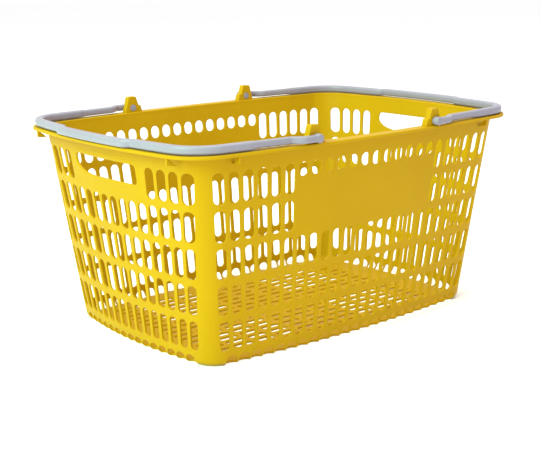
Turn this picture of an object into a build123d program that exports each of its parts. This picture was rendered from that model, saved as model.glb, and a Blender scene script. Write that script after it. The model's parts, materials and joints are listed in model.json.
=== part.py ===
from build123d import *

import math
import os

# Hand-held shopping basket: one tapered plastic moulding with slotted, slightly bowed
# walls, and two bail handles that swing on pins in four lugs on the long rims.
# Millimetres, +Z up, X along the long side, origin at the centre of the underside.
# The moulding is written as the regions it is made of, cut apart at flat joints.

# --- driving dimensions ---
RIM_TOP = 212.0                 # underside to the top face of the rim
RIM_THICKNESS = 3.2
WALL_TOP = RIM_TOP - RIM_THICKNESS
WALL_THICKNESS = 2.2
FLOOR_THICKNESS = 2.2

# Half sizes of the outer walls, measured to the sharp corner that the round one replaces.
BASE_HALF_LENGTH = 179.5
BASE_HALF_WIDTH = 116.6
LENGTH_DRAFT = 0.132            # gain of half length per millimetre of height
WIDTH_DRAFT = 0.1126            # gain of half width per millimetre of height
LONG_BOW = 12.0                 # how far the middle of a long wall stands out
SHORT_BOW = 14.0
BASE_CORNER_RADIUS = 24.0
TOP_CORNER_RADIUS = 36.0
BEND_RADIUS = 6.0               # between the walls and the floor
FLOOR_INSET = 6.0               # from the outer wall to the edge of the flat floor

RIM_HALF_LENGTH = 220.0
RIM_HALF_WIDTH = 150.5
RIM_CORNER_RADIUS = 43.0
RIM_EDGE_ROUND = 1.2
RIM_RAIL_HALF_LENGTH = 176.0    # where the long rails end and the rim corners start
RIM_RAIL_HALF_WIDTH = 118.0

# --- slots ---
LONG_COLUMNS = 24
SHORT_COLUMNS = 16
LONG_PITCH_BASE = 14.19
LONG_PITCH_GAIN = 0.0094        # gain of pitch per millimetre of height
SHORT_PITCH_BASE = 12.88
SHORT_PITCH_GAIN = 0.0176
BAR_WIDTH = 4.3                 # material left between two slots
SLOT_ROWS = 5
ROW_PITCH = 36.9
TOP_ROW_CENTRE = 178.5
SLOT_HEIGHT = 30.6
SHORT_SLOT_HEIGHT = 14.0        # the top row over the label panel
PANEL_COLUMNS = 12              # columns taken by the blank label panel
PANEL_ROWS = 2
SLOT_END_ROUND = 0.46           # corner radius as a share of the slot width

# The openings that run from the foot of a wall round the bend and into the floor.
# They lie under the wall's bars, so the thin ribs between them lie under its slots.
BEND_RIB = 1.4
BEND_SLOT_TOP = 9.7
BEND_SLOT_REACH = 6.5           # from the outer wall in over the floor
BEND_SLOT_ROUND = 5.5

# --- floor slots, two columns of the long walls long ---
FLOOR_SLOT_PITCH_X = 2 * LONG_PITCH_BASE
FLOOR_SLOT_PITCH_Y = SHORT_PITCH_BASE
FLOOR_SLOT_LENGTH = FLOOR_SLOT_PITCH_X - BAR_WIDTH
FLOOR_SLOT_WIDTH = 7.6
NARROW_SLOT_WIDTH = 5.0         # in the stiffer cross between the four quarters and at both ends
FLOOR_CROSS_HALF_LENGTH = 40.0
FLOOR_CROSS_HALF_WIDTH = 26.0
FLOOR_QUARTER_END = 130.0       # the quarters' outer ends along X
FLOOR_SLOT_COLUMNS = 11
FLOOR_SLOT_ROWS = 16

# --- hand holes in the short walls ---
HAND_COLUMNS = 8                # columns taken by the hand hole and its surround
HAND_HALF_WIDTH = 53.0
HAND_TOP = 193.5
HAND_BOTTOM = 174.0
HAND_ROUND = 4.5
HAND_SCOOP_WIDTH = 31.0         # the large lower corner at the +Y end
HAND_SCOOP_HEIGHT = 13.0

# --- gussets under the rim ---
GUSSET_THICKNESS = 2.2
GUSSET_DEPTH = 6.2              # height of its outer edge
GUSSET_KNEE_IN = 11.0           # where its lower edge starts to slope more steeply
GUSSET_KNEE_DEPTH = 7.8
GUSSET_ROOT_DEPTH = 14.0        # height where it meets the wall
GUSSET_SETBACK = 1.0            # from the edge of the rim
LONG_GUSSET_X = 170.0
SHORT_GUSSET_Y = 116.0

# --- lugs and handle pivots ---
LUG_X = 82.5
LUG_INNER_Y = 150.5
LUG_THICKNESS = 7.2
PIN_Z = 217.0
PIN_RADIUS = 3.7
BORE_RADIUS = 3.77
PIN_STAND_OUT = 0.6             # past the inner face of the lug
LUG_OUTER_SLOPE = ((-10.5, 0.0), (-5.4, 17.5))      # along X away from the middle, height over the rim
LUG_INNER_SLOPE = ((4.2, 17.5), (7.6, 7.5))
LUG_SHOULDER = ((10.3, 7.5), (12.5, 0.0))
LUG_EDGE_ROUND = 1.0

# --- handles ---
HANDLE_INSET = 6.0              # from the edge of the rim to the middle of the bar
HANDLE_CORNER_RADIUS = 38.0
GRIP_WIDTH = 9.0                # grip and corners
GRIP_HEIGHT = 7.4
GRIP_LIFT = 0.8                 # of the grip's and corners' middle line over the pins
ARM_WIDTH = 7.0
ARM_HEIGHT = 7.0
SECTION_ROUND = 0.42            # corner radius as a share of the bar's height
GRIP_SECTIONS = 3               # sections along half the grip
CORNER_SECTIONS = 8
GRIP_OFFSET = 4.5               # how far the grip is set out from the corners
GRIP_HALF_LENGTH = 56.0
GRIP_STEP_LENGTH = 9.0
TAPER_START_X = 158.0           # where the arm starts to thin towards the lug
TAPER_END_X = 144.0
ARM_END_X = 112.0
BOSS_START_X = 98.0
BOSS_RADIUS = 4.4
BOSS_LENGTH = 7.4
BOSS_CLEARANCE = 0.3            # between boss and lug

REACH = 400.0                   # longer than any part of the basket


def half_length(z):
    return BASE_HALF_LENGTH + LENGTH_DRAFT * z


def half_width(z):
    return BASE_HALF_WIDTH + WIDTH_DRAFT * z


def corner_radius(z):
    return BASE_CORNER_RADIUS + (TOP_CORNER_RADIUS - BASE_CORNER_RADIUS) * z / WALL_TOP


def long_pitch(z):
    return LONG_PITCH_BASE + LONG_PITCH_GAIN * z


def short_pitch(z):
    return SHORT_PITCH_BASE + SHORT_PITCH_GAIN * z


def row_centre(row):
    return TOP_ROW_CENTRE - row * ROW_PITCH


class BowedOutline:
    """A rectangle with bowed sides and round corners, all arcs tangent to each other."""

    def __init__(self, length, width, radius):
        self.length = length
        self.width = width
        self.radius = radius
        self.long_radius = (length**2 + LONG_BOW**2) / (2 * LONG_BOW)
        self.short_radius = (width**2 + SHORT_BOW**2) / (2 * SHORT_BOW)
        self.long_centre = Vector(0, width + LONG_BOW - self.long_radius)
        self.short_centre = Vector(length + SHORT_BOW - self.short_radius, 0)
        self.corner_centre = self._corner_centre()
        self.long_tangent = self._touch(self.long_centre, self.long_radius)
        self.short_tangent = self._touch(self.short_centre, self.short_radius)
        towards = (self.long_tangent - self.corner_centre) + (self.short_tangent - self.corner_centre)
        self.corner_middle = self.corner_centre + towards.normalized() * radius

    def _corner_centre(self):
        to_long = self.long_radius - self.radius
        to_short = self.short_radius - self.radius
        between = self.short_centre - self.long_centre
        apart = between.length
        along = (to_long**2 - to_short**2 + apart**2) / (2 * apart)
        aside = math.sqrt(to_long**2 - along**2)
        unit = between.normalized()
        return self.long_centre + unit * along + Vector(unit.Y, -unit.X) * aside

    def _touch(self, centre, radius):
        return centre + (self.corner_centre - centre).normalized() * radius

    def long_y(self, x):
        """The outer Y of a long side at this X."""
        return self.long_centre.Y + math.sqrt(self.long_radius**2 - x**2)

    def short_x(self, y):
        """The outer X of a short side at this Y."""
        return self.short_centre.X + math.sqrt(self.short_radius**2 - y**2)

    def face(self, z):
        """The whole outline as a flat face at this height."""
        edges = []
        for sx, sy in ((1, 1), (-1, 1), (-1, -1), (1, -1)):
            ends = [self.short_tangent, self.corner_middle, self.long_tangent]
            edges.append(ThreePointArc(*[Vector(p.X * sx, p.Y * sy) for p in ends]))
        for sy in (1, -1):
            end = self.long_tangent
            edges.append(ThreePointArc((end.X, end.Y * sy), (0, self.long_y(0) * sy), (-end.X, end.Y * sy)))
        for sx in (1, -1):
            end = self.short_tangent
            edges.append(ThreePointArc((end.X * sx, end.Y), (self.short_x(0) * sx, 0), (end.X * sx, -end.Y)))
        return Pos(0, 0, z) * make_face(Wire(edges))


def wall_outline(z, inset=0.0):
    return BowedOutline(half_length(z) - inset, half_width(z) - inset, corner_radius(z) - inset)


def tapered_block(bottom, top, inset, bend):
    """The solid inside the wall outline, with its lower edge rounded."""
    block = loft([wall_outline(bottom, inset).face(bottom), wall_outline(top, inset).face(top)], ruled=True)
    return fillet(block.faces().sort_by(Axis.Z)[0].edges(), bend)


def fan_block(low_half, high_half, near, far):
    """A block along +Y from near to far whose two sides lean outwards like the slot columns."""
    bottom = make_face(Polyline((-low_half, near), (low_half, near), (low_half, far), (-low_half, far), close=True))
    top = make_face(Polyline((-high_half, near), (high_half, near), (high_half, far), (-high_half, far), close=True))
    return loft([bottom, Pos(0, 0, WALL_TOP) * top], ruled=True)


def slot_prism(width, height, offset, z, lean, reach=REACH):
    """A round-ended slot cutter that runs along +Y, leaning by an angle in degrees."""
    shape = Plane.XZ * RectangleRounded(width, height, width * SLOT_END_ROUND)
    return Pos(offset, 0, z) * Rot(0, lean, 0) * extrude(shape, -reach)


def column_cutters(columns, pitch, gain, skipped):
    """Cutters for every row and column of one wall, less the skipped (row, column) pairs."""
    cutters = []
    for column in range(columns):
        place = column - (columns - 1) / 2
        lean = math.degrees(math.atan(place * gain))
        for row in range(SLOT_ROWS):
            if (row, column) in skipped:
                continue
            z = row_centre(row)
            cutters.append(slot_prism(pitch(z) - BAR_WIDTH, SLOT_HEIGHT, place * pitch(z), z, lean))
    return cutters


def bend_cutters(columns, pitch, outer_edge):
    """Cutters for the openings round the bend below a wall at +Y, one under each bar."""
    cutters = []
    spacing = pitch(BEND_SLOT_TOP)
    width = spacing - BEND_RIB
    for column in range(1 - columns // 2, columns // 2):
        x = column * spacing
        front_view = Plane.XZ * RectangleRounded(width, 2 * BEND_SLOT_TOP, BEND_SLOT_ROUND)
        plan = Pos(0, REACH / 2) * RectangleRounded(width, REACH, BEND_SLOT_ROUND)
        inner_end = outer_edge(abs(x)) - BEND_SLOT_REACH
        opening = extrude(front_view, -REACH) & extrude(plan, BEND_SLOT_TOP)
        cutters.append(Pos(x, inner_end, 0) * opening)
    return cutters


def middle_columns(columns, count):
    first = (columns - count) // 2
    return range(first, first + count)


def panel_slots():
    """The short slots over the label panel of a long wall."""
    z = row_centre(0) + (SLOT_HEIGHT - SHORT_SLOT_HEIGHT) / 2
    cutters = []
    for column in middle_columns(LONG_COLUMNS, PANEL_COLUMNS):
        place = column - (LONG_COLUMNS - 1) / 2
        lean = math.degrees(math.atan(place * LONG_PITCH_GAIN))
        cutters.append(slot_prism(long_pitch(z) - BAR_WIDTH, SHORT_SLOT_HEIGHT, place * long_pitch(z), z, lean))
    return cutters


def hand_hole():
    """The grip opening, drawn on the XZ plane; its +X end becomes the +Y end of the wall."""
    side, top, low, r = HAND_HALF_WIDTH, HAND_TOP, HAND_BOTTOM, HAND_ROUND
    bevel = r * (1 - math.sqrt(0.5))
    scoop_x = side - HAND_SCOOP_WIDTH
    scoop_z = low + HAND_SCOOP_HEIGHT
    quarter = math.sqrt(0.5)
    mid = (scoop_x + HAND_SCOOP_WIDTH * quarter, scoop_z - HAND_SCOOP_HEIGHT * quarter)
    outline = Wire([
        Line((-side + r, top), (side - r, top)),
        ThreePointArc((side - r, top), (side - bevel, top - bevel), (side, top - r)),
        Line((side, top - r), (side, scoop_z)),
        Spline((side, scoop_z), mid, (scoop_x, low), tangents=((0, -1), (-1, 0))),
        Line((scoop_x, low), (-side + r, low)),
        ThreePointArc((-side + r, low), (-side + bevel, low + bevel), (-side, low + r)),
        Line((-side, low + r), (-side, top - r)),
        ThreePointArc((-side, top - r), (-side + bevel, top - bevel), (-side + r, top)),
    ])
    return extrude(Plane.XZ * make_face(outline), -REACH)


def build_walls():
    """One long wall at +Y, one short wall at +X and the corner post between them."""
    outer = tapered_block(0, WALL_TOP, 0, BEND_RADIUS)
    inner = tapered_block(FLOOR_THICKNESS, WALL_TOP + 1, WALL_THICKNESS, BEND_RADIUS - WALL_THICKNESS)
    plate = extrude(wall_outline(0, FLOOR_INSET).face(0), FLOOR_THICKNESS)
    shell = outer - inner - plate

    long_low = LONG_COLUMNS / 2 * long_pitch(0)
    long_high = LONG_COLUMNS / 2 * long_pitch(WALL_TOP)
    short_low = SHORT_COLUMNS / 2 * short_pitch(0)
    short_high = SHORT_COLUMNS / 2 * short_pitch(WALL_TOP)
    long_zone = fan_block(long_low, long_high, half_width(0) / 2, REACH)
    short_zone = Rot(0, 0, -90) * fan_block(short_low, short_high, half_length(0) / 2, REACH)

    quarter = extrude(make_face(Polyline((0, 0), (REACH, 0), (REACH, REACH), (0, REACH), close=True)), REACH)
    corner = (shell & quarter) - long_zone - short_zone
    long_wall = shell & long_zone
    short_wall = shell & short_zone

    panel = {(row, column) for row in range(PANEL_ROWS) for column in middle_columns(LONG_COLUMNS, PANEL_COLUMNS)}
    base = wall_outline(0)
    long_bends = bend_cutters(LONG_COLUMNS, long_pitch, base.long_y)
    long_cutters = column_cutters(LONG_COLUMNS, long_pitch, LONG_PITCH_GAIN, panel) + panel_slots() + long_bends
    long_wall = long_wall - long_cutters

    grip = {(0, column) for column in middle_columns(SHORT_COLUMNS, HAND_COLUMNS)}
    short_cutters = column_cutters(SHORT_COLUMNS, short_pitch, SHORT_PITCH_GAIN, grip)
    short_bends = bend_cutters(SHORT_COLUMNS, short_pitch, base.short_x)
    # The cutters are drawn along +Y and turned to run along +X; the turn maps +X to -Y,
    # so the hand hole is mirrored first to keep its scoop at +Y.
    short_cutters.append(mirror(hand_hole(), about=Plane.YZ))
    short_bends = [Rot(0, 0, -90) * cutter for cutter in short_bends]
    short_wall = short_wall - [Rot(0, 0, -90) * cutter for cutter in short_cutters] - short_bends

    plate = plate - long_bends - [mirror(cutter, about=Plane.XZ) for cutter in long_bends]
    plate = plate - short_bends - [mirror(cutter, about=Plane.YZ) for cutter in short_bends]
    return outer, plate, long_wall, short_wall, corner


def build_floor(plate):
    cutters = []
    for column in range(FLOOR_SLOT_COLUMNS):
        for row in range(FLOOR_SLOT_ROWS):
            x = (column - (FLOOR_SLOT_COLUMNS - 1) / 2) * FLOOR_SLOT_PITCH_X
            y = (row - (FLOOR_SLOT_ROWS - 1) / 2) * FLOOR_SLOT_PITCH_Y
            along_quarter = FLOOR_CROSS_HALF_LENGTH < abs(x) < FLOOR_QUARTER_END
            in_quarter = along_quarter and abs(y) > FLOOR_CROSS_HALF_WIDTH
            width = FLOOR_SLOT_WIDTH if in_quarter else NARROW_SLOT_WIDTH
            shape = RectangleRounded(FLOOR_SLOT_LENGTH, width, width * SLOT_END_ROUND)
            cutters.append(Pos(x, y, 0) * extrude(shape, FLOOR_THICKNESS))
    return plate - cutters


def gusset(root, edge):
    """A rib in the XZ plane that hangs under the rim and runs from the wall at root to edge."""
    rib = make_face(Polyline(
        (root, WALL_TOP), (edge, WALL_TOP), (edge, WALL_TOP - GUSSET_DEPTH),
        (edge - GUSSET_KNEE_IN, WALL_TOP - GUSSET_KNEE_DEPTH), (root, WALL_TOP - GUSSET_ROOT_DEPTH), close=True))
    return extrude(Plane.XZ * rib, GUSSET_THICKNESS / 2, both=True)


def build_rim(outer):
    """A long rail at +Y, a short rail at +X and the rim corner between them."""
    edge = BowedOutline(RIM_HALF_LENGTH, RIM_HALF_WIDTH, RIM_CORNER_RADIUS)
    flange = extrude(edge.face(WALL_TOP), RIM_THICKNESS)
    flange = fillet(flange.faces().sort_by(Axis.Z)[-1].edges(), RIM_EDGE_ROUND)
    opening = extrude(wall_outline(WALL_TOP, WALL_THICKNESS).face(WALL_TOP), RIM_THICKNESS)
    ring = flange - opening

    long_half = Box(2 * RIM_RAIL_HALF_LENGTH, REACH, REACH, align=(Align.CENTER, Align.MIN, Align.CENTER))
    short_half = Box(REACH, 2 * RIM_RAIL_HALF_WIDTH, REACH, align=(Align.MIN, Align.CENTER, Align.CENTER))
    far_corner = Box(REACH, REACH, REACH, align=(Align.MIN, Align.MIN, Align.CENTER))
    long_rail = ring & (Pos(0, 0, WALL_TOP) * long_half)
    short_rail = ring & (Pos(0, 0, WALL_TOP) * short_half)
    corner = ring & (Pos(RIM_RAIL_HALF_LENGTH, RIM_RAIL_HALF_WIDTH, WALL_TOP) * far_corner)

    for side in (-1, 1):
        tip = edge.long_y(LONG_GUSSET_X) - GUSSET_SETBACK
        rib = Rot(0, 0, 90) * gusset(half_width(WALL_TOP) - GUSSET_ROOT_DEPTH, tip)
        long_rail = long_rail + (Pos(side * LONG_GUSSET_X, 0, 0) * rib - outer)
        tip = edge.short_x(SHORT_GUSSET_Y) - GUSSET_SETBACK
        rib = gusset(half_length(WALL_TOP) - GUSSET_ROOT_DEPTH, tip)
        short_rail = short_rail + (Pos(0, side * SHORT_GUSSET_Y, 0) * rib - outer)
    return long_rail, short_rail, corner


def build_lug():
    """The lug at +X, +Y, with its bore for the handle pin."""
    points = LUG_OUTER_SLOPE + LUG_INNER_SLOPE + LUG_SHOULDER
    profile = make_face(Polyline(*[(LUG_X - along, RIM_TOP + up) for along, up in points], close=True))
    lug = extrude(Plane.XZ * profile, -LUG_THICKNESS)
    upper_edges = [e for e in lug.edges().filter_by(Axis.Y) if e.center().Z > RIM_TOP + 1]
    lug = fillet(upper_edges, LUG_EDGE_ROUND)
    bore = Plane.XZ * Pos(LUG_X, PIN_Z) * Circle(BORE_RADIUS)
    lug = lug - extrude(bore, -LUG_THICKNESS)
    return Pos(0, LUG_INNER_Y, 0) * lug


def bar_section(point, direction, width, height, lift=0.0):
    """The handle's section at a point of its middle line, across the given direction."""
    plane = Plane(
        origin=(point.X, point.Y, PIN_Z + lift),
        x_dir=Vector(direction.Y, -direction.X, 0),
        z_dir=Vector(direction.X, direction.Y, 0),
    )
    return plane * RectangleRounded(width, height, height * SECTION_ROUND)


def half_handle_sections():
    """The sections of the +X handle from the middle of its grip to its +Y boss."""
    line = BowedOutline(RIM_HALF_LENGTH - HANDLE_INSET, RIM_HALF_WIDTH - HANDLE_INSET, HANDLE_CORNER_RADIUS)
    sections = []

    def along_end(y, offset):
        direction = Vector(line.short_centre.Y - y, line.short_x(y) - line.short_centre.X).normalized()
        point = Vector(line.short_x(y) + offset, y)
        sections.append(bar_section(point, direction, GRIP_WIDTH, GRIP_HEIGHT, GRIP_LIFT))

    for step in range(GRIP_SECTIONS + 1):
        along_end(GRIP_HALF_LENGTH * step / GRIP_SECTIONS, GRIP_OFFSET)
    along_end(GRIP_HALF_LENGTH + GRIP_STEP_LENGTH, 0)

    start = line.short_tangent - line.corner_centre
    first = math.atan2(start.Y, start.X)
    end = line.long_tangent - line.corner_centre
    last = math.atan2(end.Y, end.X)
    for step in range(CORNER_SECTIONS + 1):
        turn = first + (last - first) * step / CORNER_SECTIONS
        outwards = Vector(math.cos(turn), math.sin(turn))
        point = line.corner_centre + outwards * line.radius
        direction = Vector(-outwards.Y, outwards.X)
        sections.append(bar_section(point, direction, GRIP_WIDTH, GRIP_HEIGHT, GRIP_LIFT))

    towards_lug = Vector(-1, 0)
    boss_y = LUG_INNER_Y + LUG_THICKNESS + BOSS_CLEARANCE + BOSS_LENGTH / 2
    taper_start = Vector(TAPER_START_X, line.long_y(TAPER_START_X))
    sections.append(bar_section(taper_start, towards_lug, GRIP_WIDTH, GRIP_HEIGHT, GRIP_LIFT))
    for x, y in (
        (TAPER_END_X, line.long_y(TAPER_END_X)),
        (ARM_END_X, line.long_y(ARM_END_X)),
        (BOSS_START_X, boss_y),
        (LUG_X, boss_y),
    ):
        sections.append(bar_section(Vector(x, y), towards_lug, ARM_WIDTH, ARM_HEIGHT))
    return sections


def build_handle():
    """The handle of the +X end: a bar bent to follow the rim, with a boss and a pin at each end."""
    half = half_handle_sections()
    other_half = [mirror(section, about=Plane.XZ) for section in reversed(half[1:])]
    handle = loft(other_half + half, ruled=True)

    boss = extrude(Plane.XZ * Pos(LUG_X, PIN_Z) * Circle(BOSS_RADIUS), -BOSS_LENGTH)
    boss = fillet(boss.edges().filter_by(GeomType.CIRCLE), RIM_EDGE_ROUND)
    boss = Pos(0, LUG_INNER_Y + LUG_THICKNESS + BOSS_CLEARANCE, 0) * boss
    pin_length = PIN_STAND_OUT + LUG_THICKNESS + BOSS_CLEARANCE + BOSS_LENGTH / 2
    pin = extrude(Plane.XZ * Pos(LUG_X, PIN_Z) * Circle(PIN_RADIUS), -pin_length)
    pin = Pos(0, LUG_INNER_Y - PIN_STAND_OUT, 0) * pin
    ends = boss + pin
    return handle + ends + mirror(ends, about=Plane.XZ)


def write(name, shape):
    solids = shape.solids()
    export_step(solids[0] if len(solids) == 1 else Compound(solids), f"parts/{name}.step")


def main():
    os.makedirs("parts", exist_ok=True)
    outer, plate, long_wall, short_wall, corner = build_walls()
    long_rail, short_rail, rim_corner = build_rim(outer)
    lug = build_lug()
    handle = build_handle()
    write("floor_grid", build_floor(plate))

    ends = (("left", True), ("right", False))
    sides = (("front", True), ("rear", False))
    for side, flip_y in sides:
        for name, shape in (("long_wall", long_wall), ("rim_rail", long_rail)):
            write(f"{name}_{side}", mirror(shape, about=Plane.XZ) if flip_y else shape)
        for end, flip_x in ends:
            for name, shape in (("corner_post", corner), ("rim_corner", rim_corner), ("handle_lug", lug)):
                placed = mirror(shape, about=Plane.YZ) if flip_x else shape
                placed = mirror(placed, about=Plane.XZ) if flip_y else placed
                write(f"{name}_{side}_{end}", placed)
    for end, flip_x in ends:
        for name, shape in (("short_wall", short_wall), ("rim_rail", short_rail), ("handle", handle)):
            write(f"{name}_{end}", mirror(shape, about=Plane.YZ) if flip_x else shape)


main()
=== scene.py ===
import json
import math

import bmesh
import bpy
from mathutils import Matrix, Vector


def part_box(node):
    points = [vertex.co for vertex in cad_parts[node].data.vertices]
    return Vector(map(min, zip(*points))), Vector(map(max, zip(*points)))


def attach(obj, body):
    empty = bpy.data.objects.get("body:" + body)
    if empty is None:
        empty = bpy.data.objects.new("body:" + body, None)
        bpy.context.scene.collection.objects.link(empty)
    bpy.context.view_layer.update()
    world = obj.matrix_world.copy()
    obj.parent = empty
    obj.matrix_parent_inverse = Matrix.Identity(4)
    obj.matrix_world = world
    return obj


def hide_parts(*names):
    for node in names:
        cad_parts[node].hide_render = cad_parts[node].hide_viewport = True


# A hand-held shopping basket: one slotted moulding and two handles that swing on its lugs.
# All lengths are in millimetres until a mesh is made.

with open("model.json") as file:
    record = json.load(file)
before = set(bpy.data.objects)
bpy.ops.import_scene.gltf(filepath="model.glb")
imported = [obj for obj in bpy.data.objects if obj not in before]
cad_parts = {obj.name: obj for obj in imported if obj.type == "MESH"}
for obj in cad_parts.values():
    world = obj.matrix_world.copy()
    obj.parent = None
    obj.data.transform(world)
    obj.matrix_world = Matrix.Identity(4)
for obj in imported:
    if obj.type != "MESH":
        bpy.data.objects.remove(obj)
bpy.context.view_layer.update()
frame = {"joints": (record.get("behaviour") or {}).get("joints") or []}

METRE = 1000.0
SAME = 1e-6                     # lengths closer than this are the same
ROUNDING = 1e-9


def node_box(name):
    """The corners of a CAD node, in millimetres."""
    low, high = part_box(name)
    return low * METRE, high * METRE


# --- sizes: heights and ends come from the frame, the rest are the moulding's driving sizes ---
RIM_TOP = node_box("rim_rail_front")[1].z
WALL_TOP = node_box("long_wall_front")[1].z
FLOOR_TOP = node_box("floor_grid")[1].z
RIM_MIDDLE_X = node_box("rim_rail_right")[1].x
RIM_MIDDLE_Y = node_box("rim_rail_rear")[1].y
HINGE = Vector(frame["joints"][1]["pos_m"]) * METRE     # of the right handle
LUG_LOW, LUG_HIGH = node_box("handle_lug_rear_right")
HANDLE_HIGH = node_box("handle_right")[1]

BASE_HALF_LENGTH = 179.5
BASE_HALF_WIDTH = 116.6
LENGTH_DRAFT = 0.132
WIDTH_DRAFT = 0.1126
LONG_BOW = 12.0
SHORT_BOW = 14.0
BASE_CORNER_RADIUS = 24.0
TOP_CORNER_RADIUS = 36.0
WALL = 2.2
BEND = 6.0
RIM_CORNER_RADIUS = 43.0

LONG_COLUMNS = 24
SHORT_COLUMNS = 16
LONG_PITCH = (14.19, 0.0094)    # at the base, and its gain per millimetre of height
SHORT_PITCH = (12.88, 0.0176)
BAR = 4.3                       # between two slots
ROWS = 5
ROW_PITCH = 36.9
TOP_ROW_CENTRE = 178.5
SLOT_HEIGHT = 30.6
SHORT_SLOT_HEIGHT = 14.0
SLOT_END_ROUND = 0.46
PANEL = range(6, 18)            # columns of the label panel
HAND = range(4, 12)             # columns of the hand hole
SLOT_EDGE = 0.45                # rounding of a slot's edges

# The openings round the bend lie under the wall's bars, with thin ribs between them.
BEND_RIB = 1.4
BEND_SLOT_TOP = 9.7
BEND_SLOT_REACH = 6.5           # from the outer wall in over the floor
BEND_SLOT_ROUND = 5.5
BEND_END = BEND - BEND * math.pi / 2    # where the bend ends, on the scale that Side.at calls rise
FLOOR_EDGE = 12.0               # from the outer wall to the seam between the walls' skin and the floor's


# --- plan of the moulding ---

class BowedOutline:
    """A rectangle with bowed sides and round corners, all arcs tangent to each other."""

    def __init__(self, length, width, radius):
        self.radius = radius
        self.long_radius = (length**2 + LONG_BOW**2) / (2 * LONG_BOW)
        self.short_radius = (width**2 + SHORT_BOW**2) / (2 * SHORT_BOW)
        self.long_centre = Vector((0, width + LONG_BOW - self.long_radius))
        self.short_centre = Vector((length + SHORT_BOW - self.short_radius, 0))
        to_long = self.long_radius - radius
        to_short = self.short_radius - radius
        between = self.short_centre - self.long_centre
        apart = between.length
        along = (to_long**2 - to_short**2 + apart**2) / (2 * apart)
        aside = math.sqrt(to_long**2 - along**2)
        unit = between.normalized()
        self.corner = self.long_centre + unit * along + Vector((unit.y, -unit.x)) * aside
        self.long_end = self.corner + (self.corner - self.long_centre).normalized() * radius
        self.short_end = self.corner + (self.corner - self.short_centre).normalized() * radius

    def on_long(self, x):
        """Point and outward normal on the long side at this X, from 0 up."""
        centre, radius = self.long_centre, self.long_radius
        if x > self.long_end.x:
            centre, radius = self.corner, self.radius
        point = Vector((x, centre.y + math.sqrt(radius**2 - (x - centre.x) ** 2)))
        return point, (point - centre) / radius

    def on_short(self, y):
        """Point and outward normal on the short side at this Y, from 0 up."""
        centre, radius = self.short_centre, self.short_radius
        if y > self.short_end.y:
            centre, radius = self.corner, self.radius
        point = Vector((centre.x + math.sqrt(radius**2 - (y - centre.y) ** 2), y))
        return point, (point - centre) / radius

    def on_corner(self, turn):
        normal = Vector((math.cos(turn), math.sin(turn)))
        return self.corner + normal * self.radius, normal

    def holds(self, point):
        """Whether a point of the +X, +Y quarter is inside."""
        if point.y <= self.short_end.y:
            return point.x <= self.on_short(point.y)[0].x
        if point.x <= self.long_end.x:
            return point.y <= self.on_long(point.x)[0].y
        return (point - self.corner).length <= self.radius

    def gap(self, point, direction, longest=40.0, halvings=30):
        """How far it is from an inner point to the outline, in a direction."""
        near, far = 0.0, longest
        for _ in range(halvings):
            middle = (near + far) / 2
            if self.holds(point + direction * middle):
                near = middle
            else:
                far = middle
        return near


outlines = {}


def wall_outline(z):
    key = round(z, 4)
    if key not in outlines:
        radius = BASE_CORNER_RADIUS + (TOP_CORNER_RADIUS - BASE_CORNER_RADIUS) * z / WALL_TOP
        outlines[key] = BowedOutline(
            BASE_HALF_LENGTH + LENGTH_DRAFT * z, BASE_HALF_WIDTH + WIDTH_DRAFT * z, radius)
    return outlines[key]


RIM_OUTLINE = BowedOutline(RIM_MIDDLE_X - SHORT_BOW, RIM_MIDDLE_Y - LONG_BOW, RIM_CORNER_RADIUS)


def pitch(kind, z):
    base, gain = LONG_PITCH if kind == "long" else SHORT_PITCH
    return base + gain * z


class Side:
    """One zone of the wall: a long or short side, or a corner. It places points by a plan
    coordinate (columns from the middle, or 0 to 1 round a corner), a height and a depth."""

    def __init__(self, kind, sign_x, sign_y):
        self.kind = kind
        self.signs = Vector((sign_x, sign_y))

    def plan(self, across, z):
        outline = wall_outline(z)
        if self.kind == "corner":
            long_x = LONG_COLUMNS / 2 * pitch("long", z)
            short_y = SHORT_COLUMNS / 2 * pitch("short", z)
            first = outline.on_long(long_x)[1]
            last = outline.on_short(short_y)[1]
            start = math.atan2(first.y, first.x)
            turn = start + (math.atan2(last.y, last.x) - start) * across
            point, normal = outline.on_corner(turn)
            signs = self.signs
        else:
            along = across * pitch(self.kind, z)
            place = outline.on_long if self.kind == "long" else outline.on_short
            point, normal = place(abs(along))
            flip = math.copysign(1, along)
            signs = Vector((flip, self.signs.y)) if self.kind == "long" else Vector((self.signs.x, flip))
        return point * signs, normal * signs

    def at(self, across, rise, depth):
        """rise is the height, and below the bend it goes on round the bend as an arc length."""
        if rise >= BEND:
            point, normal = self.plan(across, rise)
            return self.lift(point - normal * depth, rise)
        if rise <= BEND_END:
            point, normal = self.plan(across, 0.0)
            return self.lift(point - normal * (BEND + BEND_END - rise), depth)
        turn = (BEND - rise) / BEND
        outer_z = BEND * (1 - math.sin(turn))
        point, normal = self.plan(across, max(outer_z, 0.0))
        inset = BEND - (BEND - depth) * math.cos(turn)
        return self.lift(point - normal * inset, BEND - (BEND - depth) * math.sin(turn))

    def beyond(self, across, offset, z, share=0.0):
        """A point of the rim: offset outwards from the wall's face, plus a share of the way
        to the rim's edge."""
        point, normal = self.plan(across, WALL_TOP)
        quarter = Vector((abs(point.x), abs(point.y)))
        outward = Vector((abs(normal.x), abs(normal.y)))
        reach = RIM_OUTLINE.gap(quarter, outward) * share if share else 0.0
        return self.lift(point + normal * (offset + reach), z)

    @staticmethod
    def lift(point, z):
        return Vector((point.x, point.y, z))


# --- mesh building ---

MERGE_METRES = 2e-6
LEVEL_TOLERANCE = 0.01


def smooth(value, low, high):
    share = min(max((value - low) / (high - low), 0.0), 1.0)
    return share * share * (3 - 2 * share)


def spread(low, high, step):
    count = max(1, math.ceil(abs(high - low) / step))
    return [low + (high - low) * i / count for i in range(count + 1)]


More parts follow.
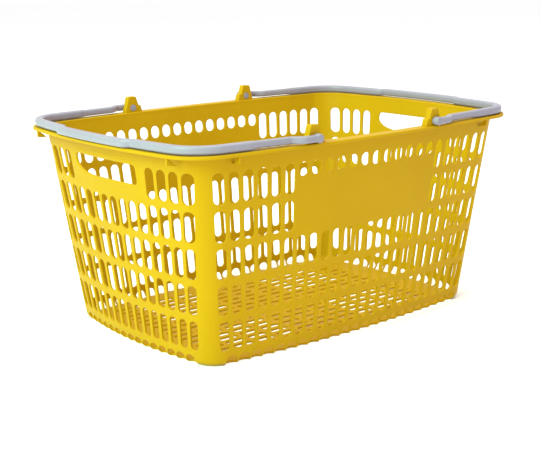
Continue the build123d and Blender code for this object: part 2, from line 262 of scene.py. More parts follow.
class Builder:
    """Collects points and quads, and makes one object of them."""

    def __init__(self):
        self.points = []
        self.faces = []

    def add(self, points):
        first = len(self.points)
        self.points.extend(points)
        return list(range(first, first + len(points)))

    def grid(self, rows):
        """Quads between rows of points, all of one length."""
        indices = [self.add(row) for row in rows]
        for low, high in zip(indices, indices[1:]):
            for i in range(len(low) - 1):
                self.faces.append((low[i], low[i + 1], high[i + 1], high[i]))

    def rings(self, loops, closed=False):
        """Quads between closed loops of points, all of one length."""
        indices = [self.add(loop) for loop in loops]
        pairs = list(zip(indices, indices[1:]))
        if closed:
            pairs.append((indices[-1], indices[0]))
        for inner, outer in pairs:
            count = len(inner)
            for i in range(count):
                j = (i + 1) % count
                self.faces.append((inner[i], inner[j], outer[j], outer[i]))

    def cap(self, loop):
        """A closed loop filled by a fan round its middle."""
        middle = sum(loop, Vector((0, 0, 0))) / len(loop)
        indices = self.add(loop)
        centre = self.add([middle])[0]
        for i in range(len(loop)):
            self.faces.append((indices[i], indices[(i + 1) % len(loop)], centre))

    def object(self, name, material, body, replaced=(), smooth_angle=40.0, filled_levels=()):
        """One object of all the faces. At each filled level, the flat space between the loose
        edges is closed."""
        mesh = bpy.data.meshes.new(name)
        mesh.from_pydata([p / METRE for p in self.points], [], self.faces)
        work = bmesh.new()
        work.from_mesh(mesh)
        bmesh.ops.remove_doubles(work, verts=work.verts, dist=MERGE_METRES)
        for level in filled_levels:
            loose = [e for e in work.edges if len(e.link_faces) == 1
                     and all(abs(v.co.z * METRE - level) < LEVEL_TOLERANCE for v in e.verts)]
            bmesh.ops.triangle_fill(work, use_beauty=True, use_dissolve=False, edges=loose)
        bmesh.ops.recalc_face_normals(work, faces=work.faces)
        work.to_mesh(mesh)
        work.free()
        piece = bpy.data.objects.new(name, mesh)
        bpy.context.scene.collection.objects.link(piece)
        mesh.shade_smooth()
        mesh.set_sharp_from_angle(angle=math.radians(smooth_angle))
        weighted = piece.modifiers.new("weighted_normals", "WEIGHTED_NORMAL")
        weighted.keep_sharp = True
        mesh.materials.append(material)
        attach(piece, body)
        if replaced:
            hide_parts(*replaced)
        return piece


# --- slots ---

# Points along a cell's upper and lower edge, in columns. The cells of the bend are half a column out of
# step with the others, and the two sets meet.
ACROSS = (-0.5, -0.3, -0.08, 0.0, 0.08, 0.3, 0.5)
BEND_ACROSS = (-0.5, -0.42, -0.2, 0.0, 0.2, 0.42, 0.5)


def slot_loop(half_width, low, high, radius, levels):
    """A round-cornered slot in step with the edge of its cell: the centre, radius and angle of each point.
    The loop starts in the middle of the lower right corner and runs up the right side first."""
    lower = [v for v in levels if v <= low + radius + SAME]
    upper = [v for v in levels if v >= high - radius - SAME]
    straight = levels[len(lower):len(levels) - len(upper)]
    eighth = math.pi / 4
    right = []
    for i in range(len(lower)):
        right.append((half_width - radius, low + radius, -eighth * (1 - i / (len(lower) - 1))))
    for level in straight:
        right.append((half_width - radius, level, 0.0))
    for i in range(len(upper)):
        right.append((half_width - radius, high - radius, eighth * i / (len(upper) - 1)))
    top = [(half_width - radius, high - radius, eighth * share) for share in (1.5, 2)]
    bottom = [(x, low + radius, -turn) for x, z, turn in reversed(top)]
    half = bottom + right + top
    left = [(-x, z, math.pi - turn) for x, z, turn in reversed(half)]
    crown = (0.0, high - radius, eighth * 2)
    foot = (0.0, low + radius, -eighth * 2)
    loop = half[2:] + [crown] + left + [foot] + half[:2]
    return [(x, z, radius, turn) for x, z, turn in loop]


def offset_loop(loop, grow):
    return [(x + (r + grow) * math.cos(t), z + (r + grow) * math.sin(t)) for x, z, r, t in loop]


def cell_edge(levels, across, centre):
    """The edge of a cell, counter-clockwise from its lower right corner, as (across, level)."""
    right = [(centre + across[-1], level) for level in levels]
    top = [(centre + a, levels[-1]) for a in reversed(across[1:-1])]
    left = [(centre + across[0], level) for level in reversed(levels)]
    bottom = [(centre + a, levels[0]) for a in across[1:-1]]
    return right + top + left + bottom


# The section of a slot's edge, from the outer face through the wall: (distance outside the slot, depth).
EASE = 0.29                     # how far in the middle of a rounded edge lies, as a share of its radius
SLOT_APRON = SLOT_EDGE * 2.2    # a flat strip that keeps the rounded edge's shading to itself
SLOT_PROFILE = (
    (SLOT_APRON, 0.0), (SLOT_EDGE, 0.0), (SLOT_EDGE * EASE, SLOT_EDGE * EASE), (0.0, SLOT_EDGE),
    (0.0, WALL - SLOT_EDGE), (SLOT_EDGE * EASE, WALL - SLOT_EDGE * EASE), (SLOT_EDGE, WALL),
    (SLOT_APRON, WALL))
THIN_PROFILE = SLOT_PROFILE[1:-1]


def row_low(row):
    return TOP_ROW_CENTRE - row * ROW_PITCH - ROW_PITCH / 2


def slot_radius(z):
    widths = [pitch(kind, z) - BAR for kind in ("long", "short")]
    return SLOT_END_ROUND * sum(widths) / 2


SHORT_SPLIT = 4                 # the place in row_levels(0) where the cells of the short slots start


def row_levels(row):
    """The heights of the points up a cell's sides. The top row has more, for the short slots."""
    centre = TOP_ROW_CENTRE - row * ROW_PITCH
    radius = slot_radius(centre)
    low = centre - SLOT_HEIGHT / 2 + radius
    high = centre + SLOT_HEIGHT / 2 - radius
    bottom = row_low(row)
    top = bottom + ROW_PITCH
    middle = [centre]
    if row == 0:
        short_low = centre + SLOT_HEIGHT / 2 - SHORT_SLOT_HEIGHT
        middle = [low + 4, short_low - 3, short_low + 1, short_low + radius]
    return [bottom, (bottom + low) / 2, low, *middle, high, (top + high) / 2, top]


class WallMesh:
    """One side of the wall, as cells of slots and plain stretches."""

    def __init__(self, builder, side):
        self.builder = builder
        self.side = side

    def plain(self, columns, levels, centre=0.0):
        for depth in (0.0, WALL):
            self.builder.grid([[self.side.at(centre + a, level, depth) for a in columns] for level in levels])

    def slot(self, centre, levels, low, high, width, radius, across=ACROSS, profile=SLOT_PROFILE):
        loop = slot_loop(width / 2, low, high, radius, levels)
        edge = cell_edge(levels, across, centre)
        loops = [[self.side.at(a, level, 0.0) for a, level in edge]]
        for grow, depth in profile:
            points = []
            for x, z in offset_loop(loop, grow):
                points.append(self.side.at(centre + x / pitch(self.side.kind, max(z, 0.0)), z, depth))
            loops.append(points)
        loops.append([self.side.at(a, level, WALL) for a, level in edge])
        self.builder.rings(loops)


HOLE_HALF_WIDTH = 53.0
HOLE_TOP = 193.5
HOLE_BOTTOM = 174.0
HOLE_ROUND = 4.5
SCOOP_WIDTH = 31.0
SCOOP_HEIGHT = 13.0
SCOOP_SPLIT = math.pi / 5       # the turn of the scoop at which the right run ends
ROUND_STEPS = 6
SCOOP_STEPS = (8, 16)           # in the right and the lower run
BEAD = 0.4                      # how far the bead round the hole stands out
HOLE_PROFILE = (
    (7.0, 0.0), (4.6, 0.0), (4.0, -BEAD * 0.6), (3.2, -BEAD), (2.2, -BEAD), (1.2, -BEAD * 0.75), (0.45, -0.1),
    (0.1, 0.5), (0.0, 1.0), (0.0, WALL - 0.5), (0.15, WALL - 0.15), (0.5, WALL), (2.0, WALL))


def arc_points(centre_x, centre_z, radius_x, radius_z, start, end, count):
    points = []
    for i in range(count + 1):
        turn = start + (end - start) * i / count
        points.append(Vector((centre_x + radius_x * math.cos(turn), centre_z + radius_z * math.sin(turn))))
    return points


def hand_hole_quarters():
    """The hand hole's outline in four runs, each from the middle of a corner to the middle of the next."""
    side, top, low, r = HOLE_HALF_WIDTH, HOLE_TOP, HOLE_BOTTOM, HOLE_ROUND
    quarter = math.pi / 4
    scoop = (side - SCOOP_WIDTH, low + SCOOP_HEIGHT, SCOOP_WIDTH, SCOOP_HEIGHT)

    def corner(centre_x, centre_z, eighths):
        return arc_points(centre_x, centre_z, r, r, eighths * quarter, (eighths + 1) * quarter, ROUND_STEPS)

    right = arc_points(*scoop, -SCOOP_SPLIT, 0, SCOOP_STEPS[0]) + corner(side - r, top - r, 0)
    upper = corner(side - r, top - r, 1) + corner(-side + r, top - r, 2)
    left = corner(-side + r, top - r, 3) + corner(-side + r, low + r, 4)
    lower = corner(-side + r, low + r, 5) + arc_points(*scoop, -2 * quarter, -SCOOP_SPLIT, SCOOP_STEPS[1])
    return right, upper, left, lower


def resample(run, count, turn_weight=16.0):
    """count points along a run, closer together where it turns. The last point is left out."""
    places = [0.0]
    for i in range(1, len(run)):
        step = (run[i] - run[i - 1]).length
        turned = 0.0
        if 0 < i < len(run) - 1 and step > SAME:
            ahead = run[i + 1] - run[i]
            if ahead.length > SAME:
                turned = (run[i] - run[i - 1]).angle(ahead)
        places.append(places[-1] + step + turn_weight * turned)
    result = []
    for k in range(count):
        wanted = places[-1] * k / count
        i = max(j for j in range(len(places) - 1) if places[j] <= wanted + ROUNDING)
        span = places[i + 1] - places[i]
        share = (wanted - places[i]) / span if span > ROUNDING else 0.0
        result.append(run[i].lerp(run[i + 1], share))
    return result


def hand_hole_cell(wall, levels):
    half = len(HAND) / 2
    across = []
    for column in range(len(HAND)):
        across += [column - half + 0.5 + a for a in ACROSS[:-1]]
    across.append(half)
    edge = cell_edge(levels, across, 0.0)
    right, upper, left, lower = hand_hole_quarters()
    up = len(levels) - 1
    along = len(across) - 1
    loop = resample(right, up) + resample(upper, along) + resample(left, up) + resample(lower, along)
    normals = []
    for i, point in enumerate(loop):
        ahead = loop[(i + 1) % len(loop)] - loop[i - 1]
        normals.append(Vector((ahead.y, -ahead.x)).normalized())
    loops = [[wall.side.at(a, level, 0.0) for a, level in edge]]
    for grow, depth in HOLE_PROFILE:
        points = []
        for point, normal in zip(loop, normals):
            spot = point + normal * grow
            points.append(wall.side.at(spot.x / pitch("short", spot.y), spot.y, depth))
        loops.append(points)
    loops.append([wall.side.at(a, level, WALL) for a, level in edge])
    wall.builder.rings(loops)


CORNER_STEPS = 10
CORNER_ACROSS = [i / CORNER_STEPS for i in range(CORNER_STEPS + 1)]
UNDER_RIM_FILLET = 2.6
BOTTOM = BEND + BEND_END - FLOOR_EDGE       # the lowest value of rise, at the seam with the floor
BEND_SLOT_LOW = BEND + BEND_END - BEND_SLOT_REACH
ROUND_STEP = 1.4                # longest step between the points of an opening's round ends
PLAIN_STEP = 2.1


def bend_levels():
    """The rise of the points up the cells round the bend."""
    foot = BEND_SLOT_LOW + BEND_SLOT_ROUND
    head = BEND_SLOT_TOP - BEND_SLOT_ROUND
    top = row_low(ROWS - 1)
    levels = [BOTTOM, (BOTTOM + BEND_SLOT_LOW) / 2] + spread(BEND_SLOT_LOW, foot, ROUND_STEP)
    return levels + spread(foot, head, ROUND_STEP)[1:] + spread(head, top, PLAIN_STEP)[1:]


def rim_profile():
    """The rim's section from the wall's outer face round to its inner face: (offset, share, height)."""
    profile = []
    for degrees in (0, 22, 45, 68, 90):
        turn = math.radians(degrees)
        profile.append((
            UNDER_RIM_FILLET * (1 - math.cos(turn)), 0.0,
            WALL_TOP - UNDER_RIM_FILLET * (1 - math.sin(turn))))
    profile += [(-1.6, 1.0, WALL_TOP), (-0.6, 1.0, WALL_TOP), (-0.17, 1.0, WALL_TOP + 0.17),
                (0.0, 1.0, WALL_TOP + 0.6), (0.0, 1.0, RIM_TOP - 1.2), (-0.1, 1.0, RIM_TOP - 0.74),
                (-0.35, 1.0, RIM_TOP - 0.35), (-0.74, 1.0, RIM_TOP - 0.1), (-1.2, 1.0, RIM_TOP),
                (-2.4, 1.0, RIM_TOP), (1.0 - WALL, 0.0, RIM_TOP), (0.5 - WALL, 0.0, RIM_TOP - 0.13),
                (0.13 - WALL, 0.0, RIM_TOP - 0.5), (-WALL, 0.0, RIM_TOP - 1.0)]
    return profile


def side_across(count):
    """Every point across a side, in columns from its middle."""
    first = 0.5 - count / 2
    return [first + column + a for column in range(count) for a in ACROSS[:-1]] + [count / 2]


def build_side(builder, side, columns, plain_cells, short_cells, skipped):
    """All the rows of one side, with its bend below and its rim above."""
    wall = WallMesh(builder, side)
    middle = (columns - 1) / 2
    for row in range(ROWS):
        levels = row_levels(row)
        centre_z = TOP_ROW_CENTRE - row * ROW_PITCH
        width = pitch(side.kind, centre_z) - BAR
        radius = slot_radius(centre_z)
        low, high = centre_z - SLOT_HEIGHT / 2, centre_z + SLOT_HEIGHT / 2
        for column in range(columns):
            centre = column - middle
            if (row, column) in skipped:
                continue
            if (row, column) in plain_cells:
                wall.plain(ACROSS, levels, centre)
            elif (row, column) in short_cells:
                wall.plain(ACROSS, levels[:SHORT_SPLIT + 1], centre)
                wall.slot(centre, levels[SHORT_SPLIT:], high - SHORT_SLOT_HEIGHT, high, width, radius)
            else:
                wall.slot(centre, levels, low, high, width, radius)
    below = bend_levels()
    spacing = pitch(side.kind, BEND_SLOT_TOP)
    for centre in range(1 - columns // 2, columns // 2):
        wall.slot(centre, below, BEND_SLOT_LOW, BEND_SLOT_TOP, spacing - BEND_RIB, BEND_SLOT_ROUND,
                  BEND_ACROSS, THIN_PROFILE)
    wall.plain([a for a in ACROSS if a <= 0], below, -middle)
    wall.plain([a for a in ACROSS if a >= 0], below, middle)
    finish_edges(wall, side_across(columns))


def finish_edges(wall, across):
    """The rim above a side, and the seam with the floor below it."""
    top = row_low(0) + ROW_PITCH
    rim_start = WALL_TOP - UNDER_RIM_FILLET
    rows = []
    for share in (0.0, 0.5):
        level = top + (rim_start - top) * share
        rows.append([wall.side.at(a, level, 0.0) for a in across])
    for offset, share, z in rim_profile():
        rows.append([wall.side.beyond(a, offset, z, share) for a in across])
    for level in (WALL_TOP, rim_start, top):
        rows.append([wall.side.at(a, level, WALL) for a in across])
    wall.builder.grid(rows)
    wall.builder.grid([[wall.side.at(a, BOTTOM, depth) for a in across] for depth in (0.0, WALL)])


def build_corner(builder, side):
    wall = WallMesh(builder, side)
    levels = bend_levels()
    for row in reversed(range(ROWS)):
        levels += row_levels(row)[1:]
    wall.plain(CORNER_ACROSS, levels)
    finish_edges(wall, CORNER_ACROSS)


def build_moulding(material):
    """The walls, corner posts and rim, which are one continuous skin."""
    builder = Builder()
    panel = {(1, column) for column in PANEL}
    short = {(0, column) for column in PANEL}
    hand = {(0, column) for column in HAND}
    for sign in (-1, 1):
        build_side(builder, Side("long", 1, sign), LONG_COLUMNS, panel, short, set())
        side = Side("short", sign, 1)
        build_side(builder, side, SHORT_COLUMNS, set(), set(), hand)
        hand_hole_cell(WallMesh(builder, side), row_levels(0))
        for other in (-1, 1):
            build_corner(builder, Side("corner", sign, other))
    walls = ["long_wall_front", "long_wall_rear", "short_wall_left", "short_wall_right"]
    rails = ["rim_rail_front", "rim_rail_rear", "rim_rail_left", "rim_rail_right"]
    corners = []
    for node in ("corner_post", "rim_corner"):
        corners += [f"{node}_{side}_{end}" for side in ("front", "rear") for end in ("left", "right")]
    return builder.object("basket_moulding", material, "basket", walls + rails + corners)


# --- floor ---

FLOOR_PITCH_X = 2 * LONG_PITCH[0]
FLOOR_PITCH_Y = SHORT_PITCH[0]
FLOOR_COLUMNS = 11
FLOOR_ROWS = 16
WIDE_SLOT = (7.6, 3.5)          # width and end radius, in the four quarters of the floor
NARROW_SLOT = (5.0, 2.3)        # in the stiffer cross between them and at both ends
QUARTER_X = (40.0, 130.0)       # where the quarters start and end
QUARTER_Y = 26.0                # where they start


def perimeter():
    """Every side and corner of the wall with the points across it."""
    for sign in (-1, 1):
        yield Side("long", 1, sign), side_across(LONG_COLUMNS)
        yield Side("short", sign, 1), side_across(SHORT_COLUMNS)
        for other in (-1, 1):
            yield Side("corner", sign, other), CORNER_ACROSS


def build_floor(material):
    """The floor plate: a grid of slots, and the plain band between it and the moulding's seam."""
    builder = Builder()
    half_x, half_y = FLOOR_PITCH_X / 2, FLOOR_PITCH_Y / 2
    across = [half_x * share for share in (-1.0, -0.75, -0.42, 0.0, 0.42, 0.75, 1.0)]
    for column in range(FLOOR_COLUMNS):
        for row in range(FLOOR_ROWS):
            x = (column - (FLOOR_COLUMNS - 1) / 2) * FLOOR_PITCH_X
            y = (row - (FLOOR_ROWS - 1) / 2) * FLOOR_PITCH_Y
            in_quarter = QUARTER_X[0] < abs(x) < QUARTER_X[1] and abs(y) > QUARTER_Y
            width, radius = WIDE_SLOT if in_quarter else NARROW_SLOT
            straight = width / 2 - radius
            levels = [y + v for v in (-half_y, -half_y / 2, -straight, straight, half_y / 2, half_y)]
            loop = slot_loop((FLOOR_PITCH_X - BAR) / 2, y - width / 2, y + width / 2, radius, levels)
            edge = [Vector((a, level, 0)) for a, level in cell_edge(levels, across, x)]
            loops = [edge]
            for grow, depth in SLOT_PROFILE:
                loops.append([Vector((x + u, v, depth)) for u, v in offset_loop(loop, grow)])
            loops.append([Vector((p.x, p.y, FLOOR_TOP)) for p in edge])
            builder.rings(loops)
    for side, points in perimeter():
        builder.grid([[side.at(a, BOTTOM, depth) for a in points] for depth in (0.0, WALL)])
    return builder.object("floor_grid", material, "basket", ["floor_grid"],
                          filled_levels=(0.0, FLOOR_TOP))


# --- gussets under the rim ---

GUSSET_THICKNESS = 2.2
GUSSET_EDGE = 0.4
LONG_GUSSET_X = 170.0
SHORT_GUSSET_Y = 116.0
GUSSET_SETBACK = 1.2            # from the edge of the rim
GUSSET_CORNER = 0.5
# Inwards from the gusset's outer edge, and over WALL_TOP. It reaches a little into the rim and the wall.
GUSSET_SECTION = ((0.0, 0.6), (0.0, -6.2), (11.0, -7.8), (16.0, -10.6))


SHARPEST_SLANT = 0.5            # keeps the points of sharp corners from moving too far


def shrink(outline, amount):
    """A closed outline moved inwards by an amount."""
    result = []
    middle = sum(outline, Vector((0, 0))) / len(outline)
    for i, point in enumerate(outline):
        before = (point - outline[i - 1]).normalized()
        after = (outline[(i + 1) % len(outline)] - point).normalized()
        normal = Vector((before.y, -before.x)) + Vector((after.y, -after.x))
        normal.normalize()
        if normal.dot(middle - point) < 0:
            normal.negate()
        slant = max(abs(normal.dot(Vector((after.y, -after.x)))), SHARPEST_SLANT)
        result.append(point + normal * amount / slant)
    return result


def round_corners(outline, radius, steps=4):
    """The outline with each corner replaced by an arc."""
    result = []
    for i, point in enumerate(outline):
        before = (outline[i - 1] - point).normalized()
        after = (outline[(i + 1) % len(outline)] - point).normalized()
        half = before.angle(after) / 2
        reach = radius / math.tan(half)
        first, last = point + before * reach, point + after * reach
        centre = point + (before + after).normalized() * radius / math.sin(half)
        start = first - centre
        turn = (last - centre).angle_signed(start)
        for k in range(steps + 1):
            angle = turn * k / steps
            result.append(centre + Vector((
                start.x * math.cos(angle) - start.y * math.sin(angle),
                start.x * math.sin(angle) + start.y * math.cos(angle))))
    return result


def edge_profile(low, high, edge):
    """(shrink, position) across a plate from low to high, with rounded edges."""
    eased = edge * EASE
    return ((edge, low), (eased, low + eased), (0.0, low + edge), (0.0, high - edge), (eased, high - eased),
            (edge, high))


def add_plate(builder, outline, low, high, edge, place):
    """A closed plate between two positions, with rounded edges."""
    loops = [[place(p, position) for p in shrink(outline, amount)]
             for amount, position in edge_profile(low, high, edge)]
    builder.rings(loops)
    builder.cap(loops[0])
    builder.cap(loops[-1])


def build_gussets(material):
    builder = Builder()
    outline = round_corners([Vector(p) for p in GUSSET_SECTION], GUSSET_CORNER)
    half = GUSSET_THICKNESS / 2
    long_tip = RIM_OUTLINE.on_long(LONG_GUSSET_X)[0].y - GUSSET_SETBACK
    short_tip = RIM_OUTLINE.on_short(SHORT_GUSSET_Y)[0].x - GUSSET_SETBACK
    for sx in (-1, 1):
        for sy in (-1, 1):
            def under_long(p, t):
                return Vector((sx * (LONG_GUSSET_X + t), sy * (long_tip - p.x), WALL_TOP + p.y))

            def under_short(p, t):
                return Vector((sx * (short_tip - p.x), sy * (SHORT_GUSSET_Y + t), WALL_TOP + p.y))

            add_plate(builder, outline, -half, half, GUSSET_EDGE, under_long)
            add_plate(builder, outline, -half, half, GUSSET_EDGE, under_short)
    return builder.object("rim_gussets", material, "basket")


# --- lugs ---

BORE_RADIUS = 3.77
BORE_EDGE = 0.4
BORE_EASE = BORE_EDGE * 0.3
LUG_EDGE = 0.8
LUG_CORNER = 1.3
LUG_TOP = LUG_HIGH.z - RIM_TOP
LUG_SECTION = ((-10.7, -1.0), (-5.4, LUG_TOP), (4.2, LUG_TOP), (7.6, 7.5), (10.3, 7.5), (12.7, -1.0))
FINE_ANGLE = math.radians(9)    # widest step of the lug's outline, seen from its bore


def with_points_between(outline, centre):
    """The outline with points added so that no edge is seen from the centre under a wide angle."""
    result = []
    for i, point in enumerate(outline):
        ahead = outline[(i + 1) % len(outline)]
        count = max(1, math.ceil((point - centre).angle(ahead - centre) / FINE_ANGLE))
        result += [point.lerp(ahead, k / count) for k in range(count)]
    return result


def build_lug(name, material, sx, sy):
    """A lug on the rim, with its bore. x runs from the bore towards the middle of the basket."""
    builder = Builder()
    centre = Vector((0.0, HINGE.z - RIM_TOP))
    corners = round_corners([Vector(p) for p in LUG_SECTION], LUG_CORNER)
    outline = with_points_between(corners, centre)
    low, high = LUG_LOW.y, LUG_HIGH.y

    def place(p, y):
        return Vector((sx * (HINGE.x - p.x), sy * y, RIM_TOP + p.y))

    def bore(radius, y):
        return [place(centre + (p - centre).normalized() * radius, y) for p in outline]

    # Each step of the bore's rounded edge: how much wider, and how deep.
    edge = ((0.0, BORE_EDGE), (BORE_EASE, BORE_EASE), (BORE_EDGE, 0.0))
    loops = [bore(BORE_RADIUS + wider, low + deep) for wider, deep in edge]
    for amount, y in edge_profile(low, high, LUG_EDGE):
        loops.append([place(p, y) for p in shrink(outline, amount)])
    loops += [bore(BORE_RADIUS + wider, high - deep) for wider, deep in reversed(edge)]
    builder.rings(loops, closed=True)
    return builder.object(name, material, "basket", [name])


# --- handles ---

HANDLE_INSET = 6.0              # from the edge of the rim to the middle of the bar
HANDLE_CORNER_RADIUS = 38.0
HANDLE_LINE = BowedOutline(
    RIM_MIDDLE_X - SHORT_BOW - HANDLE_INSET, RIM_MIDDLE_Y - LONG_BOW - HANDLE_INSET, HANDLE_CORNER_RADIUS)
ARM_SIZE = (7.0, 7.0, 0.0)      # width, height, and lift over the pins
GRIP_SIZE = (9.0, 8.2, -0.2)
GRIP_OFFSET = 4.5               # how far the grip is set out from the corners
GRIP_STEP = (56.0, 64.0)        # Y where the grip steps in to the corners
TAPER = (144.0, 158.0)          # X where the arm thins towards the lug
JOG = (97.0, 112.0)             # X where the arm steps out past the lug
PIN_RADIUS = 3.7
BOSS_RADIUS = 4.4
BOSS_LENGTH = 7.4
PIN_STAND_OUT = 0.6             # past the lug's inner face
BOSS_ROUND = (1.2, 0.35)        # of its edges, and how far in the middle of a rounded edge lies
PIN_ROUND = (0.5, 0.15)
TURNED_POINTS = 48
SECTION_POWER = 3.2             # squareness of the bar's section
SECTION_POINTS = 32


def handle_stations(boss_y):
    """Points of half the handle's middle line from the grip to the boss, each with how much
    the bar is like the grip (1) or the arm (0) there."""
    stations = []
    for y in spread(0.0, GRIP_STEP[0], 6.0)[:-1] + spread(*GRIP_STEP, 1.2)[:-1] + spread(
            GRIP_STEP[1], HANDLE_LINE.short_end.y, 5.0):
        point = HANDLE_LINE.on_short(y)[0]
        out = GRIP_OFFSET * (1 - smooth(y, *GRIP_STEP))
        stations.append((Vector((point.x + out, y)), 1.0))
    last = HANDLE_LINE.short_end - HANDLE_LINE.corner
    end = HANDLE_LINE.long_end - HANDLE_LINE.corner
    for turn in spread(math.atan2(last.y, last.x), math.atan2(end.y, end.x), math.radians(5))[1:]:
        stations.append((HANDLE_LINE.on_corner(turn)[0], 1.0))
    start = HANDLE_LINE.long_end.x
    for x in spread(start, TAPER[1], 5.0)[1:] + spread(*reversed(TAPER), 1.6)[1:] + spread(
            TAPER[0], JOG[1], 5.0)[1:] + spread(*reversed(JOG), 1.2)[1:] + spread(JOG[0], HINGE.x, 3.0)[1:]:
        line_y = HANDLE_LINE.on_long(x)[0].y
        y = boss_y + (line_y - boss_y) * smooth(x, *JOG)
        stations.append((Vector((x, y)), smooth(x, *TAPER)))
    return stations


def section(point, direction, share):
    """The bar's section: a rounded rectangle across the direction."""
    aside = Vector((direction.y, -direction.x))
    width, height, lift = (arm + (grip - arm) * share for arm, grip in zip(ARM_SIZE, GRIP_SIZE))
    loop = []
    for i in range(SECTION_POINTS):
        turn = 2 * math.pi * i / SECTION_POINTS
        c, s = math.cos(turn), math.sin(turn)
        across = math.copysign(abs(c) ** (2 / SECTION_POWER), c) * width / 2
        up = math.copysign(abs(s) ** (2 / SECTION_POWER), s) * height / 2 + lift
        spot = point + aside * across
        loop.append(Vector((spot.x, spot.y, HINGE.z + up)))
    return loop


def add_lathe(builder, profile, sy):
    """A closed turned shape round the pivot's axis, from a profile of (radius, y)."""
    loops = []
    for radius, y in profile:
        loop = []
        for i in range(TURNED_POINTS):
            turn = 2 * math.pi * i / TURNED_POINTS
            x = HINGE.x + radius * math.cos(turn)
            loop.append(Vector((x, sy * y, HINGE.z + radius * math.sin(turn))))
        loops.append(loop)
    builder.rings(loops)
    builder.cap(loops[0])
    builder.cap(loops[-1])


def turned_edge(radius, edge, eased):
    """The rounded edge of a turned shape, from its end: (radius, depth)."""
    return (radius - edge, 0.0), (radius - eased, eased), (radius, edge)


def build_handle(name, material, sx):
    builder = Builder()
    boss_high = HANDLE_HIGH.y
    boss_low = boss_high - BOSS_LENGTH
    boss_y = (boss_low + boss_high) / 2
    half = handle_stations(boss_y)
    line = [(Vector((p.x, -p.y)), share) for p, share in reversed(half[1:])] + half
    loops = []
    for i, (point, share) in enumerate(line):
        ahead = line[min(i + 1, len(line) - 1)][0]
        behind = line[max(i - 1, 0)][0]
        loops.append(section(point, (ahead - behind).normalized(), share))
    builder.rings(loops)
    builder.cap(loops[0])
    builder.cap(loops[-1])
    pin_end = LUG_LOW.y - PIN_STAND_OUT
    boss_edge = turned_edge(BOSS_RADIUS, *BOSS_ROUND)
    boss = [(radius, boss_low + deep) for radius, deep in boss_edge]
    boss += [(radius, boss_high - deep) for radius, deep in reversed(boss_edge)]
    pin = [(radius, pin_end + deep) for radius, deep in turned_edge(PIN_RADIUS, *PIN_ROUND)]
    pin.append((PIN_RADIUS, boss_y))
    for sy in (-1, 1):
        add_lathe(builder, boss, sy)
        add_lathe(builder, pin, sy)
    builder.points = [Vector((sx * p.x, p.y, p.z)) for p in builder.points]
    return builder.object(name, material, name, [name])


# --- materials ---

# Scales of the noise, in patches per metre, from the slow change of colour down to the moulded skin.
CLOUD_SCALE = 9.0
SCUFF_SCALE = 38.0
SPECK_SCALE = 160.0
SKIN_SCALE = 620.0
SKIN_DEPTH = 0.0002
GRIME_AMOUNT = 0.6
PLASTIC_IOR = 1.48


def link(tree, source, output, target, name):
    tree.links.new(source.outputs[output], target.inputs[name])


def noise(tree, position, scale, detail, roughness=0.5):
    node = tree.nodes.new("ShaderNodeTexNoise")
    node.inputs["Scale"].default_value = scale
    node.inputs["Detail"].default_value = detail
    node.inputs["Roughness"].default_value = roughness
    link(tree, position, "Object", node, "Vector")
    return node


def ramp(tree, source, output, stops):
    node = tree.nodes.new("ShaderNodeValToRGB")
    for element, (place, value) in zip(node.color_ramp.elements, stops):
        element.position = place
        element.color = (*value, 1.0) if isinstance(value, tuple) else (value, value, value, 1.0)
    link(tree, source, output, node, "Fac")
    return node


def mix(tree, kind, factor):
    node = tree.nodes.new("ShaderNodeMixRGB")
    node.blend_type = kind
    node.inputs["Fac"].default_value = factor
    return node


def plastic(name, dark, light, rough_range, peel, dirt, gloss):
    """Moulded plastic: slow colour variation, scuffed patches, handling grime and a fine
    orange-peel skin. Dirt is the shade of the grime, and peel the strength of the skin."""
    material = bpy.data.materials.new(name)
    material.use_nodes = True
    tree = material.node_tree
    shader = tree.nodes["Principled BSDF"]
    position = tree.nodes.new("ShaderNodeTexCoord")

    cloud = noise(tree, position, CLOUD_SCALE, 3.0)
    colour = ramp(tree, cloud, "Fac", ((0.3, dark), (0.7, light)))
    specks = noise(tree, position, SPECK_SCALE, 4.0, 0.7)
    grime = ramp(tree, specks, "Fac", ((0.62, 1.0), (0.78, dirt)))
    grimy = mix(tree, "MULTIPLY", GRIME_AMOUNT)
    link(tree, colour, "Color", grimy, "Color1")
    link(tree, grime, "Color", grimy, "Color2")
    link(tree, grimy, "Color", shader, "Base Color")

    scuffs = noise(tree, position, SCUFF_SCALE, 6.0, 0.65)
    rough = ramp(tree, scuffs, "Fac", ((0.35, rough_range[0]), (0.75, rough_range[1])))
    link(tree, rough, "Color", shader, "Roughness")

    skin = noise(tree, position, SKIN_SCALE, 2.0)
    bump = tree.nodes.new("ShaderNodeBump")
    bump.inputs["Strength"].default_value = peel
    bump.inputs["Distance"].default_value = SKIN_DEPTH
    link(tree, skin, "Fac", bump, "Height")
    link(tree, bump, "Normal", shader, "Normal")
    shader.inputs["IOR"].default_value = PLASTIC_IOR
    shader.inputs["Specular IOR Level"].default_value = gloss
    return material


basket_material = plastic(
    "basket_plastic", dark=(0.440, 0.236, 0.0006), light=(0.468, 0.256, 0.0012),
    rough_range=(0.40, 0.56), peel=0.25, dirt=0.90, gloss=0.08)
handle_material = plastic(
    "handle_plastic", dark=(0.238, 0.206, 0.272), light=(0.262, 0.228, 0.302),
    rough_range=(0.26, 0.42), peel=0.20, dirt=0.88, gloss=0.4)
build_moulding(basket_material)
build_floor(basket_material)
build_gussets(basket_material)
for lug_side, lug_y in (("front", -1), ("rear", 1)):
    for lug_end, lug_x in (("left", -1), ("right", 1)):
        build_lug(f"handle_lug_{lug_side}_{lug_end}", basket_material, lug_x, lug_y)
build_handle("handle_left", handle_material, -1)
build_handle("handle_right", handle_material, 1)


# --- camera, light and floor ---

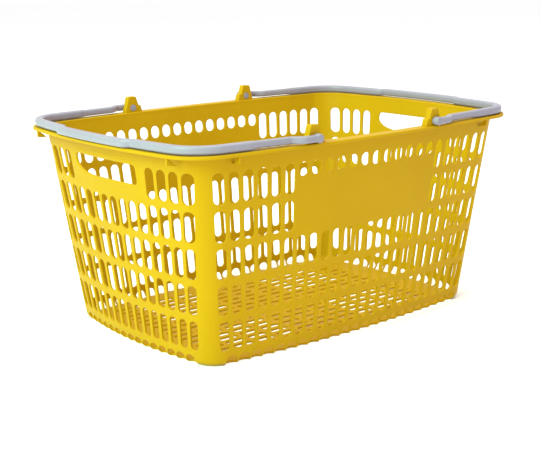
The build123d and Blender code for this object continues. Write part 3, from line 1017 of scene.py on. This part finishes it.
CAMERA_PLACE = Vector((-0.8002, -0.9483, 0.3824))
CAMERA_AZIMUTH = math.radians(39.89)
CAMERA_ELEVATION = math.radians(13.13)
CAMERA_ROLL = -0.011
CAMERA_LENS = 76.6
SENSOR_WIDTH = 36.0
WORLD_STRENGTH = 1.03
KEY_COLOUR = (0.56, 1.0, 0.66)
TOP_COLOUR = (1.0, 0.93, 0.80)
STUDIO_HALF = 9                 # half the width of the floor, in metres


def aim_camera():
    data = bpy.data.cameras.new("camera")
    data.lens = CAMERA_LENS
    data.sensor_width = SENSOR_WIDTH
    camera = bpy.data.objects.new("camera", data)
    level = math.cos(CAMERA_ELEVATION)
    forward = Vector((
        math.sin(CAMERA_AZIMUTH) * level, math.cos(CAMERA_AZIMUTH) * level, -math.sin(CAMERA_ELEVATION)))
    level_right = forward.cross(Vector((0, 0, 1))).normalized()
    level_up = level_right.cross(forward)
    right = level_right * math.cos(CAMERA_ROLL) + level_up * math.sin(CAMERA_ROLL)
    up = level_up * math.cos(CAMERA_ROLL) - level_right * math.sin(CAMERA_ROLL)
    turned = Matrix((right, up, -forward)).transposed()
    camera.matrix_world = Matrix.Translation(CAMERA_PLACE) @ turned.to_4x4()
    bpy.context.scene.collection.objects.link(camera)
    bpy.context.scene.camera = camera


def area_light(name, place, target, size, power, colour):
    data = bpy.data.lights.new(name, "AREA")
    data.size = size
    data.energy = power
    data.color = colour
    lamp = bpy.data.objects.new(name, data)
    lamp.location = place
    lamp.rotation_euler = (Vector(target) - Vector(place)).to_track_quat("-Z", "Y").to_euler()
    bpy.context.scene.collection.objects.link(lamp)


def light_studio():
    world = bpy.data.worlds.new("studio")
    world.use_nodes = True
    background = world.node_tree.nodes["Background"]
    background.inputs["Color"].default_value = (1, 1, 1, 1)
    background.inputs["Strength"].default_value = WORLD_STRENGTH
    bpy.context.scene.world = world
    bpy.context.scene.view_settings.view_transform = "Standard"
    area_light("key", (-1.6, -0.2, 1.2), (0, 0, 0.1), size=1.2, power=54, colour=KEY_COLOUR)
    area_light("top", (0.2, 0.1, 1.9), (0, 0, 0), size=1.6, power=22, colour=TOP_COLOUR)


def lay_floor():
    mesh = bpy.data.meshes.new("studio_floor")
    corners = [(x * STUDIO_HALF, y * STUDIO_HALF, 0) for x, y in ((-1, -1), (1, -1), (1, 1), (-1, 1))]
    mesh.from_pydata(corners, [], [(0, 1, 2, 3)])
    floor = bpy.data.objects.new("studio_floor", mesh)
    paper = bpy.data.materials.new("studio_paper")
    paper.use_nodes = True
    shader = paper.node_tree.nodes["Principled BSDF"]
    shader.inputs["Base Color"].default_value = (0.95, 0.95, 0.95, 1.0)
    shader.inputs["Roughness"].default_value = 0.9
    mesh.materials.append(paper)
    bpy.context.scene.collection.objects.link(floor)


aim_camera()
light_studio()
lay_floor()
